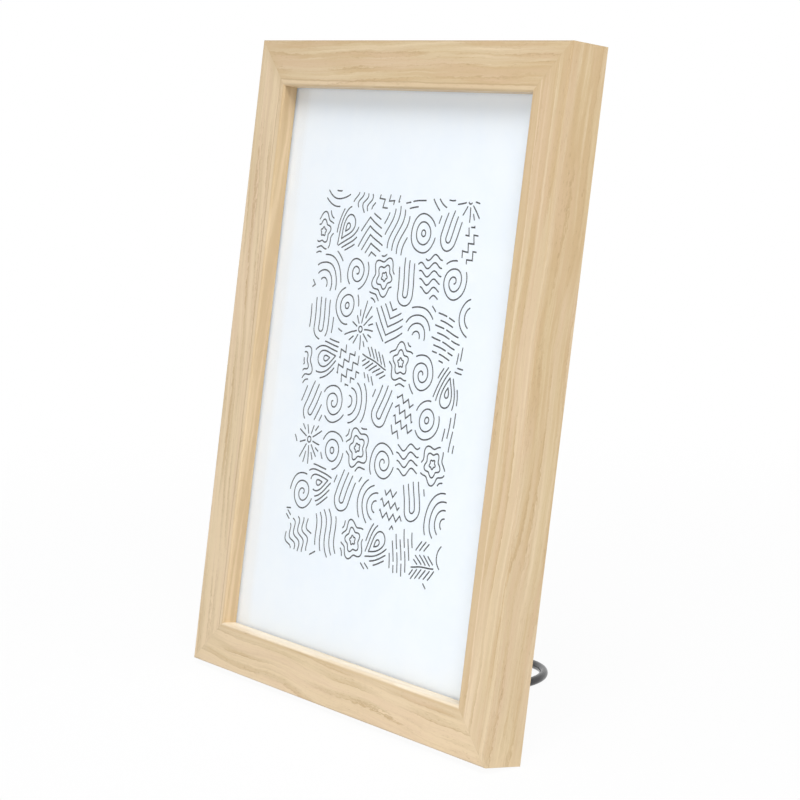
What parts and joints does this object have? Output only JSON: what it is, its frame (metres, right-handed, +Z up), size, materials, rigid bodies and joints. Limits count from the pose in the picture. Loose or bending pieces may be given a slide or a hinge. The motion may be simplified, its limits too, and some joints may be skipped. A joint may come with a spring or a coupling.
{
  "type": "picture frame",
  "caption": "Upright picture frame of mitred light wood, leaning back on a round wire stand that plugs into a drilled hole in its back; glass, print and back panel held by turn clips.",
  "frame": {"origin": "middle of the bounding box, on the surface that the frame stands on", "axes": "+Z up, -Y towards the viewer in front of the picture, +X to the viewer's right; the frame's own plane leans back 8.5 degrees from Z"},
  "size_m": [0.248, 0.1418, 0.3345],
  "materials": {
    "wood": "satin",
    "bright_steel": "satin",
    "glass": "gloss",
    "print_paper": "matte",
    "backing_card": "matte",
    "fibreboard": "matte",
    "clip_steel": "satin",
    "rivet_steel": "satin",
    "brass_nails": "satin",
    "sleeve_plastic": "matte",
    "wire": "satin",
    "bumper_rubber": "matte"
  },
  "bodies": {
    "frame": {"stile_left": "wood", "stile_right": "wood", "rail_top": "wood", "rail_bottom": "wood", "corner_v_nails": "bright_steel", "glass_pane": "glass", "print_sheet": "print_paper", "backing_card": "backing_card", "back_panel": "fibreboard", "clip_rivets": "rivet_steel", "hanger_upright": "bright_steel", "hanger_sideways": "bright_steel", "hanger_nails": "brass_nails", "wall_bumpers": "bumper_rubber"},
    "turn_clip_left_upper": {"turn_clip_left_upper": "clip_steel"},
    "turn_clip_left_lower": {"turn_clip_left_lower": "clip_steel"},
    "turn_clip_right_upper": {"turn_clip_right_upper": "clip_steel"},
    "turn_clip_right_lower": {"turn_clip_right_lower": "clip_steel"},
    "turn_clip_top": {"turn_clip_top": "clip_steel"},
    "turn_clip_bottom": {"turn_clip_bottom": "clip_steel"},
    "stand_sleeve": {"wire_sleeve": "sleeve_plastic"},
    "stand_wire": {"wire_stand": "wire"}
  },
  "joints": [
    {"name": "turn_clip_left_upper_turn", "type": "hinge", "parent": "frame", "child": "turn_clip_left_upper", "pos_m": [-0.095, -0.01716, 0.25262], "axis": [0, 0.989, -0.1478], "range_deg": [-90, 90]},
    {"name": "turn_clip_left_lower_turn", "type": "hinge", "parent": "frame", "child": "turn_clip_left_lower", "pos_m": [-0.095, -0.04291, 0.08034], "axis": [0, 0.989, -0.1478], "range_deg": [-90, 90]},
    {"name": "turn_clip_right_upper_turn", "type": "hinge", "parent": "frame", "child": "turn_clip_right_upper", "pos_m": [0.095, -0.01716, 0.25262], "axis": [0, 0.989, -0.1478], "range_deg": [-90, 90]},
    {"name": "turn_clip_right_lower_turn", "type": "hinge", "parent": "frame", "child": "turn_clip_right_lower", "pos_m": [0.095, -0.04291, 0.08034], "axis": [0, 0.989, -0.1478], "range_deg": [-90, 90]},
    {"name": "turn_clip_top_turn", "type": "hinge", "parent": "frame", "child": "turn_clip_top", "pos_m": [0, -0.00956, 0.30346], "axis": [0, 0.989, -0.1478], "range_deg": [-90, 90]},
    {"name": "turn_clip_bottom_turn", "type": "hinge", "parent": "frame", "child": "turn_clip_bottom", "pos_m": [0, -0.0505, 0.0295], "axis": [0, 0.989, -0.1478], "range_deg": [-90, 90]},
    {"name": "stand_pull_out", "type": "slide", "parent": "frame", "child": "stand_sleeve", "axis": [0, 0.989, -0.1478], "range_m": [0, 0.014]},
    {"name": "stand_swivel", "type": "hinge", "parent": "stand_sleeve", "child": "stand_wire", "pos_m": [0, -0.04797, 0.0089], "axis": [0, 0.989, -0.1478], "range_deg": [-180, 180]}
  ]
}
